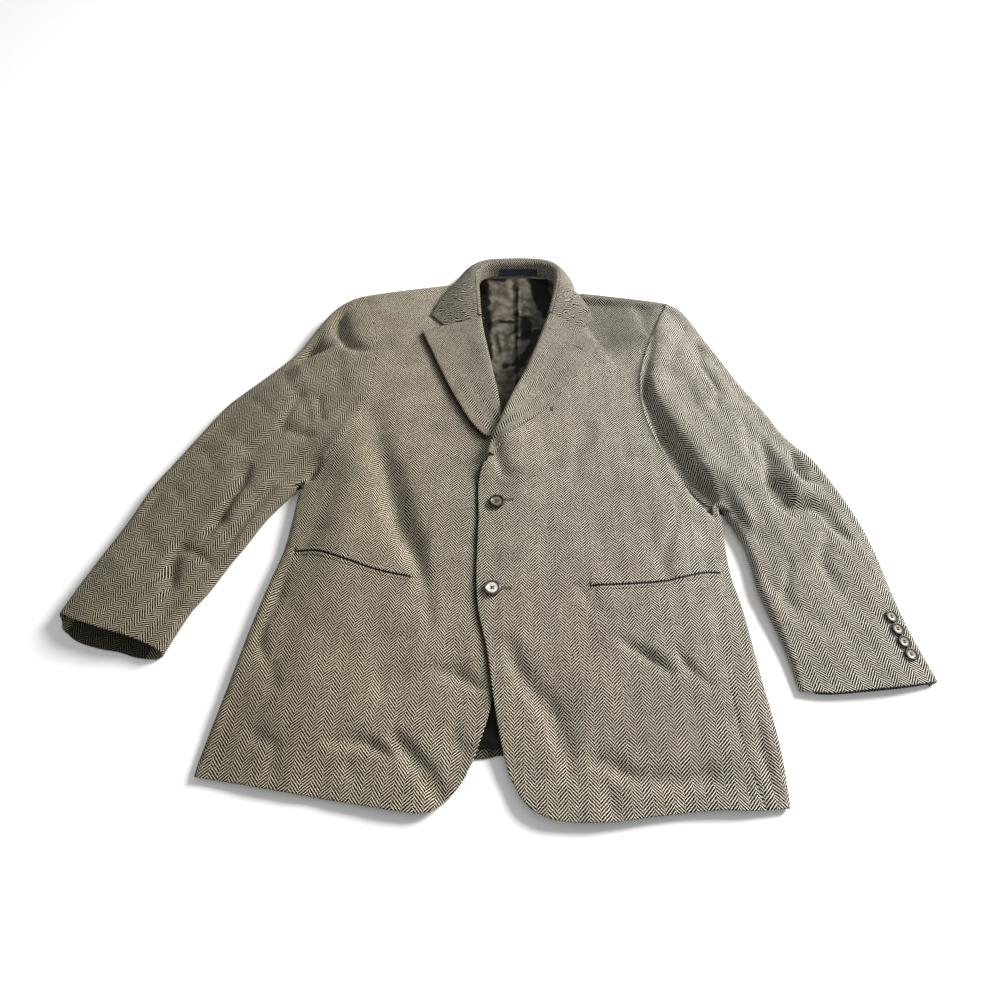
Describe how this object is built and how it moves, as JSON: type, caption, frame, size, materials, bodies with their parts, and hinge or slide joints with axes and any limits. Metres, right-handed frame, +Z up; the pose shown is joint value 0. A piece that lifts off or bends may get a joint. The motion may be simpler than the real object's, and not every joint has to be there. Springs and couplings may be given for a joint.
{
  "type": "tweed jacket",
  "caption": "Single-breasted herringbone tweed jacket with notch lapels and jetted hip pockets, buttoned and laid flat on its back with the sleeves spread.",
  "frame": {"origin": "middle of the jacket's box on the surface that it lies on", "axes": "+X towards the wearer's left sleeve, the longest way across; -Y towards the hem and +Y towards the collar; +Z up from the surface"},
  "size_m": [0.9987, 0.8705, 0.0499],
  "materials": {
    "tweed_cloth": "brushed wool herringbone",
    "lining_satin": "satin",
    "label_cloth": "woven, matt",
    "horn_button": "satin horn effect"
  },
  "bodies": {
    "root": {"back_left": "tweed_cloth", "back_right": "tweed_cloth", "button_cuff_1": "horn_button", "button_cuff_2": "horn_button", "button_cuff_3": "horn_button", "button_cuff_4": "horn_button", "button_front_lower": "horn_button", "button_front_upper": "horn_button", "collar_leaf": "tweed_cloth", "collar_stand": "tweed_cloth", "front_left": "tweed_cloth", "front_left_skirt": "tweed_cloth", "front_right": "tweed_cloth", "front_right_skirt": "tweed_cloth", "label": "label_cloth", "lapel_left": "tweed_cloth", "lapel_right": "tweed_cloth", "lining_cuff_right": "lining_satin", "lining_hem": "lining_satin", "lining_neck": "lining_satin", "pocket_left_lower": "tweed_cloth", "pocket_left_upper": "tweed_cloth", "pocket_right_lower": "tweed_cloth", "pocket_right_upper": "tweed_cloth", "side_left": "tweed_cloth", "side_right": "tweed_cloth", "sleeve_left_top": "tweed_cloth", "sleeve_left_under": "tweed_cloth", "sleeve_right_top": "tweed_cloth", "sleeve_right_under": "tweed_cloth"}
  },
  "joints": []
}
